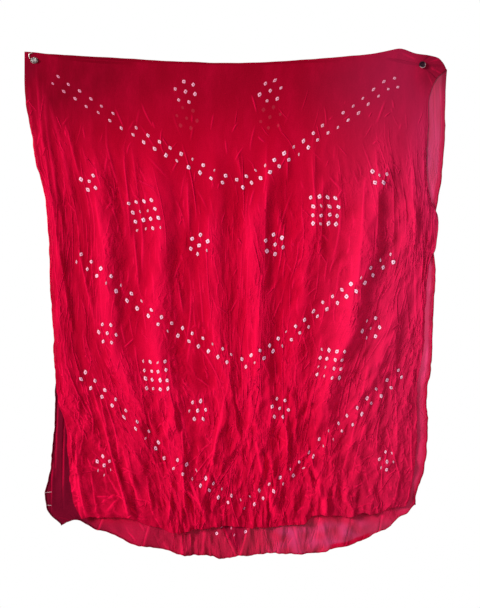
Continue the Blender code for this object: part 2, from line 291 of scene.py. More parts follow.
def soft_noise(across, down, seed):
    """Gradient noise from about -1 to 1: each corner of a unit lattice has a slope in a seeded direction,
    and the four planes at a place are mixed by 6s^5 - 15s^4 + 10s^3."""
    across, down = np.broadcast_arrays(np.asarray(across, float), np.asarray(down, float))
    cell_across = np.floor(across).astype(int)
    cell_down = np.floor(down).astype(int)
    first_across, first_down = cell_across.min(), cell_down.min()
    size = (cell_down.max() - first_down + 2, cell_across.max() - first_across + 2)
    turns = np.random.default_rng(seed).uniform(0.0, 2.0 * math.pi, size)
    part_across, part_down = across - cell_across, down - cell_down

    def plane(step_across, step_down):
        turn = turns[cell_down - first_down + step_down, cell_across - first_across + step_across]
        return np.cos(turn) * (part_across - step_across) + np.sin(turn) * (part_down - step_down)

    mix_across = part_across ** 3 * (part_across * (part_across * 6 - 15) + 10)
    mix_down = part_down ** 3 * (part_down * (part_down * 6 - 15) + 10)
    above = plane(0, 0) + (plane(1, 0) - plane(0, 0)) * mix_across
    below = plane(0, 1) + (plane(1, 1) - plane(0, 1)) * mix_across
    return 1.5 * (above + (below - above) * mix_down)


def ridged_noise(across, down, seed):
    """Sharp wandering ridges from 0 to 1: one less the size of soft noise, squared, so that a ridge runs
    wherever the noise crosses 0."""
    return np.clip(1.0 - 1.6 * np.abs(soft_noise(across, down, seed)), 0.0, 1.0) ** 2


def cell_borders(across, down, seed):
    """Straight-sided ridges along the borders of scattered cells: 1 less 1.5 times the gap between the
    distances to the nearest and the second nearest of one seeded point in each unit square, held at 0."""
    across, down = np.broadcast_arrays(np.asarray(across, float), np.asarray(down, float))
    cell_across = np.floor(across).astype(int)
    cell_down = np.floor(down).astype(int)
    first_across, first_down = cell_across.min() - 1, cell_down.min() - 1
    size = (2, cell_down.max() - first_down + 2, cell_across.max() - first_across + 2)
    spots = np.random.default_rng(seed).uniform(0.04, 0.96, size)
    nearest = np.full(across.shape, 9.0)
    second = np.full(across.shape, 9.0)
    for step_down in (-1, 0, 1):
        for step_across in (-1, 0, 1):
            row, column = cell_down + step_down, cell_across + step_across
            spot = spots[:, row - first_down, column - first_across]
            gap = np.hypot(across - column - spot[0], down - row - spot[1])
            second = np.minimum(second, np.maximum(gap, nearest))
            nearest = np.minimum(nearest, gap)
    return np.clip(1.0 - 1.5 * (second - nearest), 0.0, 1.0)


def main_folds(across, down):
    """The large hanging folds: a sum of bell curves, each centred on its crest's line in the table, fading
    in below the taut top and out by six tenths towards the crumpled hem."""
    relief = np.zeros(np.broadcast(across, down).shape)
    for *crest, half_width, rise in FOLDS:
        middle = smooth_line(FOLD_DOWN, crest, down)
        relief += rise * np.exp(-((across - middle) / half_width) ** 2)
    relief = relief * smooth_step(down, FOLDS_START_DOWN, FOLDS_FULL_DOWN)
    return relief * (1.0 - 0.6 * smooth_step(down, FOLDS_FADE_DOWN, FOLDS_FADED_DOWN))


def crease_relief(table, across, down):
    """Sharp creases: for each line of the table, its rise times e to the minus 1.5th power of the distance
    from the line, in half widths, fading in and out over a fifth of its length. Each line wanders a little."""
    relief = np.zeros(np.broadcast(across, down).shape)
    for number, (head, head_down, foot, foot_down, half_width, rise) in enumerate(table):
        share = (down - head_down) / (foot_down - head_down)
        line = head + (foot - head) * share + 5.0 * soft_noise(down / 60.0, 0.5, 100 + number)
        fade = smooth_step(share, -0.12, 0.2) * (1.0 - smooth_step(share, 0.8, 1.12))
        relief += rise * fade * np.exp(-np.abs((across - line) / half_width) ** 1.5)
    return relief


def wedge_relief(across, down):
    """Folds with flat sides that widen from a point: at a share of the way from the point to the foot, the
    share of the rise, falling evenly on each side to nothing at that share of the side's width."""
    relief = np.zeros(np.broadcast(across, down).shape)
    for point, point_down, foot, foot_down, left, right, rise in WEDGES:
        share = np.clip((down - point_down) / (foot_down - point_down), 0.001, 1.0)
        beside = across - point - (foot - point) * share + 2.0 * soft_noise(down / 30.0, 0.5, int(point))
        width = np.where(beside < 0.0, left, right) * share
        past = 1.0 - smooth_step(down, foot_down - 12.0, foot_down + 14.0)
        relief = np.maximum(relief, rise * share * past * np.clip(1.0 - np.abs(beside) / width, 0.0, 1.0))
    return relief


def down_at(share, share_down, hem_column):
    """How far down a point hangs: straight from the top edge to the hem, both a little wavy."""
    top = smooth_line(EDGES[:, 0], EDGES[:, 1], share) + FOLD_EDGE_RADIUS
    hem = smooth_line(EDGES[:, 0], EDGES[:, hem_column], share)
    top = top + 0.5 * soft_noise(share * 30.0, 0.5, 31)
    hem = hem + 2.2 * soft_noise(share * 34.0, 0.5, 32 + hem_column)
    hem = hem + 1.3 * soft_noise(share * 88.0, 0.5, 36 + hem_column)
    return top + (hem - top) * share_down


def edge_wave(down, seed):
    """Small waves of a side edge: two octaves of soft noise, none near the studs and more lower down."""
    wave = 1.6 * soft_noise(down / 37.0, 0.5, seed) + 0.9 * soft_noise(down / 13.0, 0.5, seed + 1)
    return wave * smooth_step(down, 30.0, 160.0) * (1.0 + 0.7 * smooth_step(down, 480.0, 700.0))


def layer_points(share_down, lanes, hem_column, left_column, right_column):
    """Across, down and share of the width of a layer's points. Each row runs from edge to edge through the
    lines of the lanes, so the grid's columns lean as the folds do."""
    left_down = down_at(0.0, share_down, hem_column)
    right_down = down_at(1.0, share_down, hem_column)
    left = smooth_line(SECTIONS[:, 0], SECTIONS[:, left_column], left_down)
    right = smooth_line(SECTIONS[:, 0], SECTIONS[:, right_column], right_down)
    left = left + edge_wave(left_down, 40 + left_column)
    right = right + edge_wave(right_down, 50 + right_column)
    middle_down = down_at(0.5, share_down, hem_column)
    lines = [smooth_line(FOLD_DOWN, line, middle_down) for line in LANE_LINES]
    knots = np.concatenate([[0], np.cumsum(LANES_BETWEEN_LINES)])
    across = smooth_line(knots, np.stack([left, *lines, right], axis=-1), lanes)
    share = (across - left[:, None]) / (right - left)[:, None]
    return across, down_at(share, share_down[:, None], hem_column), share


def crinkle_masks(share, down):
    """How crinkled and how crumpled a place is, 0 to 1 each: crinkles begin below the smooth top's line,
    and crumples near the hem and on the right."""
    start = smooth_line(SMOOTH_TOP[:, 0], SMOOTH_TOP[:, 1], share)
    crinkled = 0.07 + 0.93 * smooth_step(down, start, start + 190.0)
    low = smooth_step(down, 570.0, 840.0)
    right = smooth_step(share, 0.5, 0.85) * smooth_step(down, 150.0, 420.0)
    return crinkled, np.clip(0.12 + 0.8 * low + 0.55 * right, 0.0, 1.0)


def ripple_relief(share, lanes, down, seed_shift):
    """Crinkles: ridged noise and cell borders stretched down the folds at several widths, each times its
    height and masks, on coordinates that soft noise bends."""
    crinkled, crumpled = crinkle_masks(share, down)
    lie = lanes * LANE_WIDTH
    along = lie + 9.0 * soft_noise(lie / 70.0, down / 60.0, 21 + seed_shift)
    along = along + 3.0 * soft_noise(lie / 22.0, down / 24.0, 22 + seed_shift)
    lower = down + 14.0 * soft_noise(lie / 40.0, down / 80.0, 23 + seed_shift)
    relief = np.zeros(np.broadcast(along, down).shape)
    for table, pattern in ((RIPPLES, ridged_noise), (FACETS, cell_borders)):
        for width, length, height, seed, only_crumpled in table:
            ridges = pattern(along / width, lower / length, seed + seed_shift)
            relief += height * ridges * (1.0 - only_crumpled + only_crumpled * crumpled)
    return relief * crinkled


def seeded_creases(rng, lie_width, layer, count, down_from, down_to, shortest, longest, lowest, highest):
    """Rows of layer, middle in the lie of the folds, middle down, angle from straight down, length, bow, half
    width and rise, for one row of the table of kinds. Every third crease starts on the one before and
    leaves it at an angle, so they join in a Y. Creases lie near the folds' own direction, and more any way
    in the crumpled parts."""
    lie = rng.uniform(0.0, lie_width, count)
    down = rng.uniform(down_from, down_to, count)
    crinkled, crumpled = crinkle_masks(lie / lie_width, down)
    if layer:
        crinkled, crumpled = 0.0 * crinkled + 0.8, 0.0 * crumpled + 0.35
    loose = np.clip(120.0 / longest, 0.35, 1.0)
    tumbled = smooth_step(down, 620.0, 930.0) if layer == 0 else 0.5 * crumpled
    angle = rng.normal(0.0, 1.0, count) * (0.10 + 0.52 * tumbled ** 2) * loose
    angle -= layer * 1.1 * (lie / lie_width - 0.5)
    length = rng.uniform(shortest, longest, count) * (1.0 - 0.5 * crumpled * loose)
    rise = rng.uniform(lowest, highest, count) * (0.45 + 0.55 * crumpled)
    rise *= smooth_step(crinkled, 0.40, 1.0)
    child = np.arange(2, count, 3)
    parent = child - 1
    part = rng.uniform(-0.35, 0.35, len(child)) * length[parent]
    fork = (rng.uniform(0.12, 0.32, len(child)) + 0.45 * tumbled[child]) * loose
    angle[child] = angle[parent] + rng.choice((-1.0, 1.0), len(child)) * fork
    half = 0.5 * length[child]
    lie[child] = lie[parent] + part * np.sin(angle[parent]) + half * np.sin(angle[child])
    down[child] = down[parent] + part * np.cos(angle[parent]) + half * np.cos(angle[child])
    bow = rng.normal(0.0, 0.10, count)
    half_width = rng.uniform(*CREASE_HALF_WIDTHS, count)
    return np.stack([0.0 * lie + layer, lie, down, angle, length, bow, half_width, rise], axis=-1)


def measured_creases(table, width_share, rise_share):
    """The same rows for a table of creases whose heads and feet are measured across and down."""
    head, head_down, foot, foot_down, half_width, rise = np.array(table, float).T
    length = np.hypot(foot - head, foot_down - head_down)
    bow = np.random.default_rng(9).normal(0.0, 0.05, len(head))
    angle = np.arctan2(foot - head, foot_down - head_down)
    middle, middle_down = (head + foot) / 2, (head_down + foot_down) / 2
    sizes = [length * 1.2, bow, half_width * width_share, rise * rise_share]
    return np.stack([0.0 * head, middle, middle_down, angle, *sizes], axis=-1)


def face_corners(values):
    """Values of a grid's points at the four corners of each face, one row a face."""
    corners = np.stack([values[:-1, :-1], values[:-1, 1:], values[1:, 1:], values[1:, :-1]], axis=2)
    return corners.reshape(-1, 4, *values.shape[2:])


def crease_places(across, lie, down, layer):
    """Each face corner's place at its face's strongest crease: how far beside the crease's bowed line, in
    half widths, and its height there, which falls with the square of the place along it to 0 at both ends."""
    rng = np.random.default_rng(CREASE_SEED)
    width = lie.max()
    seeded = [seeded_creases(rng, width, *kind) for kind in CREASE_KINDS]
    measured = [
        measured_creases(CREASES, 0.42, 0.36), measured_creases(PRESSED_LINES, 1.0, 1.0),
        measured_creases(BACK_CREASES, 0.35, 0.45) + np.array((1, 0, 0, 0, 0, 0, 0, 0)),
    ]
    across, lie, down, layer = (face_corners(values) for values in (across, lie, down, layer))
    best = np.zeros(len(down))
    places = np.zeros((len(down), 4, 2)) + np.array((10.0, 0.0))
    for sideways, rows in ((lie, np.concatenate(seeded)), (across, np.concatenate(measured))):
        for on_layer, middle, middle_down, angle, length, bow, half_width, rise in rows:
            reach = 0.5 * length + 8.0
            near = np.abs(sideways[:, 0] - middle) < abs(math.sin(angle)) * reach + 12.0
            near &= np.abs(down[:, 0] - middle_down) < abs(math.cos(angle)) * reach + 12.0
            near = np.flatnonzero(near & (np.abs(layer[:, 0] - on_layer) < 0.1))
            right, below = sideways[near] - middle, down[near] - middle_down
            along = (right * math.sin(angle) + below * math.cos(angle)) / length
            beside = right * math.cos(angle) - below * math.sin(angle) + bow * length * along ** 2
            height = rise * np.clip(1.0 - 4.0 * along ** 2, 0.0, 1.0)
            beside = beside / half_width
            worth = np.abs(height.mean(axis=1)) * np.clip(1.5 - 0.5 * np.abs(beside.mean(axis=1) - 0.7), 0.0, 1.0)
            won = worth > best[near]
            best[near[won]] = worth[won]
            places[near[won]] = np.stack([beside, height], axis=-1)[won]
    return places


def front_layer(lanes):
    """The front layer from its hem up to the fold: place across, distance from the wall, place down, share
    of the width, and flat place across and down, each an array of rows by columns."""
    share_down = np.linspace(1.0, 0.0, FRONT_ROWS)
    across, down, share = layer_points(share_down, lanes, 2, 1, 3)
    spread = (LAYER_PITCH_AT_HEM - LAYER_PITCH) * smooth_step(share_down, 0.1, 0.8)[:, None]
    folds = main_folds(across, down)
    fine = ripple_relief(share, lanes, down, 0) * (0.7 + 0.3 * np.clip(folds / 20.0, 0.0, 1.0))
    fine = fine + 1.0 * crease_relief(CREASES, across, down)
    folds = folds * (0.84 + 0.34 * soft_noise(across / 60.0, down / 110.0, 27))
    gathers = ridged_noise(share * 36.0, share_down[:, None] * 2.0, 81) * smooth_step(share_down, 0.90, 0.985)[:, None]
    fine = fine + 3.6 * gathers
    near_edge = smooth_step(share, 0.88, 1.0)
    wedges = wedge_relief(across, down)
    plain = 1.0 - 0.8 * np.clip(wedges / 4.0, 0.0, 1.0)
    swell = (spread + (folds * (1.0 - 0.2 * near_edge) + fine) * plain + wedges) * (1.0 - 0.55 * near_edge)
    distance = BACK_OFF_WALL + LAYER_PITCH * (1.0 - 0.5 * near_edge) + swell
    over = np.clip(distance - DEEP_ENOUGH, 0.0, None)
    distance = distance - over + 8.0 * np.tanh(over / 8.0)
    flat = (share - 0.5) * FLAT_WIDTH, share_down[:, None] * FLAT_FRONT + 0.0 * share
    return across, distance, down, share, fine, *flat


def back_layer(lanes):
    """The back layer from the fold down to its hem, in the same arrays as the front layer. Its rows crowd
    towards the hem, the part of it that shows."""
    part = np.linspace(0.0, 1.0, BACK_ROWS)
    share_down = 1.7 * part - 0.7 * part ** 2
    across, down, share = layer_points(share_down, lanes, 3, 2, 4)
    bare = smooth_step(down, 960.0, 1030.0)
    ripples = 0.30 * ripple_relief(share, lanes, down, 60) * (1.0 + 1.4 * bare)
    fine = ripples + crease_relief(BACK_CREASES, across, down)
    near_edge = smooth_step(share, 0.88, 1.0)
    distance = BACK_OFF_WALL + (BACK_FOLD_SHARE * main_folds(across, down) + fine) * (1.0 - 0.6 * near_edge)
    flat = (share - 0.5) * FLAT_WIDTH, share_down[:, None] * FLAT_BACK - BACK_DOTS_LATER + 0.0 * share
    return across, distance, down, share, fine, *flat


def roll_edge(edge, inward, outward, radius):
    """Points of a narrow rolled hem beside an edge, one array a step: a circle of the radius that touches
    the edge, its centre inward of it, followed for a little over one turn while it shrinks."""
    steps = []
    for step in range(1, ROLL_STEPS + 1):
        angle = 2.2 * math.pi * step / ROLL_STEPS
        shrink = radius * (1.0 - 0.3 * step / ROLL_STEPS)
        centre = edge + inward * radius
        steps.append(centre + shrink * (outward * math.sin(angle) - inward * math.cos(angle)))
    return steps


def sheet_arrays(roll_radius):
    """The whole sheet as arrays of rows by columns: world points in metres, share, fine relief, flat place
    across and down, and which layer, 0 front to 1 back. Rows run up the front, over the fold and down the
    back, and the hems' rolled edges are added on all four sides."""
    lanes = np.linspace(0.0, float(sum(LANES_BETWEEN_LINES)), COLUMNS)
    front = front_layer(lanes)
    back = back_layer(lanes)
    angles = math.pi * np.arange(1, TURN_ROWS + 1)[:, None] / (TURN_ROWS + 1)
    nearer = (1.0 + np.cos(angles)) / 2.0
    turn = [f[-1] * nearer + b[0] * (1.0 - nearer) for f, b in zip(front, back)]
    turn[2] = turn[2] - LAYER_PITCH / 2.0 * np.sin(angles)
    across, distance, down, share, fine, flat_across, flat_down = (
        np.concatenate([f, t, b]) for f, t, b in zip(front, turn, back)
    )
    layer = np.concatenate([np.zeros(FRONT_ROWS), 1.0 - nearer[:, 0], np.ones(BACK_ROWS)])
    layer = layer[:, None] + 0.0 * share
    points = np.stack([across, -distance, -down], axis=-1)
    facing = np.concatenate([np.zeros(FRONT_ROWS), angles[:, 0], np.full(BACK_ROWS, math.pi)])
    inward = np.stack([0.0 * facing, np.cos(facing), -np.sin(facing)], axis=-1)
    maps = np.stack([share, fine, flat_across, flat_down, layer, 0.0 * share], axis=-1)

    hem_radius = np.full((COLUMNS, 1), roll_radius)
    below = np.array((0.0, 0.0, -1.0))
    front_roll = roll_edge(points[0], inward[0], below, hem_radius)
    back_roll = roll_edge(points[-1], inward[-1], below, 1.25 * hem_radius)
    points = np.concatenate([front_roll[::-1], points, back_roll])
    rolled = np.array((0.0, 0.0, 0.0, 0.0, 0.0, 1.0))
    maps = np.concatenate([[maps[0] + rolled] * ROLL_STEPS, maps, [maps[-1] + rolled] * ROLL_STEPS])
    inward = np.concatenate([[inward[0]] * ROLL_STEPS, inward, [inward[-1]] * ROLL_STEPS])

    from_fold = np.abs(np.arange(len(points)) - (ROLL_STEPS + FRONT_ROWS + TURN_ROWS / 2))
    side_radius = 0.6 + (roll_radius - 0.6) * smooth_step(from_fold, 6.0, 30.0)[:, None]
    on_back = maps[:, 0, 4:5]
    left_roll = roll_edge(points[:, 0], inward, np.array((-1.0, 0.0, 0.0)), side_radius)
    right_radius = side_radius * (0.4 + 1.2 * on_back)
    right_roll = roll_edge(points[:, -1], inward, np.array((1.0, 0.0, 0.0)), right_radius)
    points = np.stack([*left_roll[::-1], *np.moveaxis(points, 1, 0), *right_roll], axis=1)
    left_maps = [maps[:, 0] + rolled] * ROLL_STEPS
    right_maps = [maps[:, -1] + rolled] * ROLL_STEPS
    maps = np.stack([*left_maps, *np.moveaxis(maps, 1, 0), *right_maps], axis=1)
    return points * MM, maps


def dot_centres():
    """Flat places of the undyed dots: three chevrons of paired dots, V = apex - rise * (reach share)^bend,
    and the small motifs between them, each a centre with dots on a circle, or four rows of four."""
    centres = []
    for number, (apex, apex_down, left, left_down, right, right_down, bend) in enumerate(CHEVRONS):
        for side, reach, end_down in ((-1, left, left_down), (1, right, right_down)):
            for count in range(0 if side > 0 else 1, DOTS_AN_ARM + 1):
                part = count / DOTS_AN_ARM
                across = (apex + side * reach * part - 0.5) * FLAT_WIDTH
                down = apex_down + (end_down - apex_down) * part ** bend
                if (number, side, count) not in UNTIED_DOTS:
                    centres.append((across, down))
                centres.append((across + side * LOWER_DOT_OUT * FLAT_WIDTH, down + LOWER_DOT_DOWN))
    for dots, left, right, down, size, left_turn, right_turn in MOTIFS:
        for side, share, turn in ((1, left, left_turn), (-1, right, right_turn)):
            if dots == 16:
                across, rows = np.meshgrid(np.arange(4) - 1.5, np.arange(4) - 1.5)
                offsets = np.stack([across.ravel(), 1.02 * rows.ravel()], axis=-1) * size
                angle = math.radians(turn)
            else:
                angles = np.radians(FIVE_ANGLES if dots == 5 else np.arange(0, 360, 60))
                ring = np.stack([side * np.cos(angles), np.sin(angles)], axis=-1) * size
                offsets = np.concatenate([[(0.0, 0.0)], ring])
                angle = math.radians(turn)
            spin = np.array(((math.cos(angle), math.sin(angle)), (-math.sin(angle), math.cos(angle))))
            centres.extend(offsets @ spin + ((share - 0.5) * FLAT_WIDTH, down))
        if down == MOTIFS[0][3]:
            seen_through = [place + (0.0, BACK_DOTS_LATER) for place in np.array(centres[-GHOST_DOTS:])]
    centres = np.array(centres + seen_through)
    return centres + np.random.default_rng(7).normal(0.0, 0.9, centres.shape)


def dot_coordinates(maps, radius):
    """Each face corner's place in its nearest dot's own frame, the dot's radius being 1, and how white that
    dot is: the corner's flat offset, turned to the dot's long axis and divided by its half width and half
    length. Faces far from any dot get a far place. Dots near the upper corners are drawn out along the
    chevron's arms."""
    centres = dot_centres()
    count = len(centres)
    rng = np.random.default_rng(8)
    taut = 1.0 - smooth_step(centres[:, 1], 90.0, 260.0)
    pulled = taut * smooth_step(np.abs(centres[:, 0]), 0.0, 260.0)
    turns = rng.normal(0.0, 0.42, count) * (1.0 - pulled) - np.sign(centres[:, 0]) * math.radians(50) * pulled
    squeezed = (rng.uniform(0.0, 1.0, count) < 0.2) * (1.0 - taut) + 0.6 * pulled
    sizes = rng.uniform(0.86, 1.14, count) * (1.0 - 0.22 * squeezed) * radius
    widths = sizes * rng.uniform(0.80, 1.0, count) * (1.0 - 0.38 * squeezed)
    heights = sizes * rng.uniform(0.95, 1.12, count) * (1.0 - 0.08 * smooth_step(centres[:, 1], 400, 900))
    widths *= 1.0 - 0.14 * smooth_step(centres[:, 1], 300, 900)
    corners = face_corners(maps[..., 2:4])
    middle = corners.mean(axis=1)
    nearest = np.empty(len(middle), int)
    gap = np.empty(len(middle))
    for first in range(0, len(middle), 20000):
        part = middle[first:first + 20000]
        away = ((part[:, None] - centres[None]) ** 2).sum(axis=-1)
        nearest[first:first + 20000] = away.argmin(axis=1)
        gap[first:first + 20000] = np.sqrt(away.min(axis=1))
    offset = corners - centres[nearest][:, None]
    cosine, sine = np.cos(turns[nearest])[:, None], np.sin(turns[nearest])[:, None]
    beside = (offset[..., 0] * cosine - offset[..., 1] * sine) / widths[nearest][:, None]
    along = (offset[..., 0] * sine + offset[..., 1] * cosine) / heights[nearest][:, None]
    strengths = rng.uniform(0.70, 1.0, count) * (1.0 - 0.25 * taut) * (1.0 - 0.2 * squeezed)
    strengths[len(centres) - GHOST_DOTS:] = 0.02
    strength = np.repeat(strengths[nearest][:, None], 4, axis=1)
    return np.where((gap < 15.0)[:, None, None], np.stack([beside, along], axis=-1), 10.0), strength


def hem_stitches(points, layer):
    """Rings of points along each stitch: circles of the thread's radius, square to a smooth line that runs
    over the rolled side hem and along the back layer's face, and goes into the cloth at both ends."""
    turns = 2.0 * math.pi * np.arange(8) / 8
    upright = np.array((0.0, 0.0, 1.0))
    stitches = []
    for down, length, climb in HEM_STITCHES:
        gaps = np.abs(points[:, ROLL_STEPS, 2] / MM + down) + 9999.0 * (layer[:, ROLL_STEPS] < 0.9)
        row = points[gaps.argmin(), ROLL_STEPS:-ROLL_STEPS] / MM
        share = np.linspace(STITCH_LINE[0, 0], 1.0, 40)
        off = smooth_line(STITCH_LINE[:, 0], STITCH_LINE[:, 1], share)
        across = row[0, 0] + share * length
        line = np.stack([across, np.interp(across, row[:, 0], row[:, 1]) - off, -down + share * climb], axis=-1)
        ahead = np.gradient(line, axis=0)
        ahead = ahead / np.linalg.norm(ahead, axis=1)[:, None]
        beside = np.cross(upright, ahead)
        ring = np.cos(turns)[:, None] * beside[:, None] + np.sin(turns)[:, None] * upright
        stitches.append((line[:, None] + STITCH_RADIUS * ring) * MM)
    return stitches


def grid_mesh(name, points, around=False):
    """A mesh of quads through rows by columns of points, facing the way that columns turn into rows, its
    last column joined to its first where it goes around."""
    rows, columns = points.shape[:2]
    index = np.arange(rows * columns).reshape(rows, columns)
    if around:
        index = np.concatenate([index, index[:, :1]], axis=1)
    faces = np.stack([index[:-1, :-1], index[:-1, 1:], index[1:, 1:], index[1:, :-1]], axis=-1).reshape(-1, 4)
    mesh = bpy.data.meshes.new(name)
    mesh.vertices.add(rows * columns)
    mesh.vertices.foreach_set("co", points.reshape(-1).astype(np.float32))
    mesh.loops.add(faces.size)
    mesh.loops.foreach_set("vertex_index", faces.reshape(-1).astype(np.int32))
    mesh.polygons.add(len(faces))
    mesh.polygons.foreach_set("loop_start", np.arange(0, faces.size, 4, dtype=np.int32))
    mesh.update(calc_edges=True)
    mesh.validate()
    mesh.shade_smooth()
    return mesh, faces


def set_point_values(mesh, name, values):
    """Store one number a point under a name that the material reads."""
    attribute = mesh.attributes.new(name, "FLOAT", "POINT")
    attribute.data.foreach_set("value", np.ascontiguousarray(values, np.float32).reshape(-1))


def set_corner_values(mesh, name, values):
    """Store one number a face corner under a name that the material reads."""
    attribute = mesh.attributes.new(name, "FLOAT", "CORNER")
    attribute.data.foreach_set("value", np.ascontiguousarray(values, np.float32).reshape(-1))


def set_map(mesh, name, places):
    """Store a UV map from one pair of numbers a face corner."""
    layer = mesh.uv_layers.new(name=name)
    layer.data.foreach_set("uv", np.ascontiguousarray(places, np.float32).reshape(-1))


class Wire:
    """A number socket of a material. Arithmetic on it adds Math nodes."""

    def __init__(self, maker, socket):
        self.maker = maker
        self.socket = socket

    def math(self, operation, *values):
        """One Math node of these values."""
        return self.maker.add("ShaderNodeMath", {"operation": operation}, dict(enumerate(values)))

    def __add__(self, other):
        return self.math("ADD", self, other)

    def __radd__(self, other):
        return self.math("ADD", other, self)

    def __sub__(self, other):
        return self.math("SUBTRACT", self, other)

    def __rsub__(self, other):
        return self.math("SUBTRACT", other, self)

    def __mul__(self, other):
        return self.math("MULTIPLY", self, other)

    def __rmul__(self, other):
        return self.math("MULTIPLY", other, self)

    def __truediv__(self, other):
        return self.math("DIVIDE", self, other)

    def __rtruediv__(self, other):
        return self.math("DIVIDE", other, self)

    def __pow__(self, other):
        return self.math("POWER", self, other)

    def size(self):
        """The number without its sign."""
        return self.math("ABSOLUTE", self)


class Finish:
    """A material under way, with one method that adds any node."""

    def __init__(self, name):
        self.material = bpy.data.materials.new(name)
        self.material.use_nodes = True
        self.tree = self.material.node_tree
        self.shader = self.tree.nodes["Principled BSDF"]

    def add(self, kind, settings, sockets, output=0):
        """Add a node, set its settings and then its sockets' values or links, and return one output."""
        node = self.tree.nodes.new(kind)
        for key, value in settings.items():
            if key == "stops":
                self.set_stops(node.color_ramp, value)
            else:
                setattr(node, key, value)
        for key, value in sockets.items():
            self.feed(node.inputs[key], value)
        return Wire(self, node.outputs[output])

    def set_stops(self, ramp, stops):
        """Give a ramp its places and colours."""
        while len(ramp.elements) < len(stops):
            ramp.elements.new(1.0)
        for element, (place, colour) in zip(ramp.elements, stops):
            element.position = place
            element.color = (*colour, 1.0)

    def feed(self, socket, value):
        """Link a socket, or set its value."""
        if isinstance(value, Wire):
            self.tree.links.new(value.socket, socket)
        else:
            socket.default_value = value

    def surface(self, **sockets):
        """Set or link the shader's own sockets, named with underscores for blanks."""
        for key, value in sockets.items():
            self.feed(self.shader.inputs[key.replace("_", " ")], value)

    def blend(self, share, first, second):
        """One colour mixed into another."""
        colours = {0: share, 6: self.colour(first), 7: self.colour(second)}
        return self.add("ShaderNodeMix", {"data_type": "RGBA"}, colours, output=2)

    def colour(self, value):
        """A colour with its fourth number."""
        return value if isinstance(value, Wire) or len(value) == 4 else (*value, 1.0)

    def step(self, value, start, end):
        """A smooth rise from 0 to 1 between two values, as 3s^2 - 2s^3."""
        limits = {"Value": value, "From Min": start, "From Max": end}
        return self.add("ShaderNodeMapRange", {"interpolation_type": "SMOOTHSTEP"}, limits)

    def value(self, name):
        """A number stored on the mesh's points."""
        return self.add("ShaderNodeAttribute", {"attribute_name": name}, {}, output="Fac")

    def map(self, name, scale):
        """Places of one UV map, stretched."""
        places = self.add("ShaderNodeUVMap", {"uv_map": name}, {})
        return self.add("ShaderNodeMapping", {}, {"Vector": places, "Scale": scale})

    def noise(self, places, scale, detail=2.0, roughness=0.5, distortion=0.0):
        """Soft noise from 0 to 1 at these places."""
        sockets = {
            "Vector": places, "Scale": scale, "Detail": detail, "Roughness": roughness,
            "Distortion": distortion,
        }
        return self.add("ShaderNodeTexNoise", {}, sockets)

    def scaled(self, places, scale):
        """These places, stretched."""
        return self.add("ShaderNodeMapping", {}, {"Vector": places, "Scale": scale})

    def bent_map(self, name, scale, reach):
        """Places of one UV map, moved by noise up to half the reach either way, so that lines wander."""
        places = self.add("ShaderNodeUVMap", {"uv_map": name}, {})
        sockets = {"Vector": places, "Scale": scale, "Detail": 2.0}
        moves = self.add("ShaderNodeTexNoise", {}, sockets, output="Color")
        centred = self.add("ShaderNodeVectorMath", {"operation": "SUBTRACT"}, {0: moves, 1: (0.5, 0.5, 0.5)})
        sockets = {0: centred, 1: (reach, reach, 0.0), 2: places}
        return self.add("ShaderNodeVectorMath", {"operation": "MULTIPLY_ADD"}, sockets)

    def borders(self, places, scale, steepness):
        """Straight-sided ridges along the borders of scattered cells, 1 on the border."""
        sockets = {"Vector": places, "Scale": scale}
        gap = self.add("ShaderNodeTexVoronoi", {"feature": "DISTANCE_TO_EDGE"}, sockets)
        return self.math_clamped(1.0 - gap * steepness)

    def math_clamped(self, value):
        """A number held to 0 and 1."""
        return self.add("ShaderNodeClamp", {}, {"Value": value})

    def cells(self, places, scale):
        """Distance from the nearest of scattered points at these places."""
        return self.add("ShaderNodeTexVoronoi", {"feature": "F1"}, {"Vector": places, "Scale": scale})

    def bump(self, height, distance, under=None):
        """A normal from a height of 0 to 1 and the real distance that 1 stands for."""
        sockets = {"Height": height, "Distance": distance, "Strength": 1.0}
        if under is not None:
            sockets["Normal"] = under
        return self.add("ShaderNodeBump", {}, sockets)


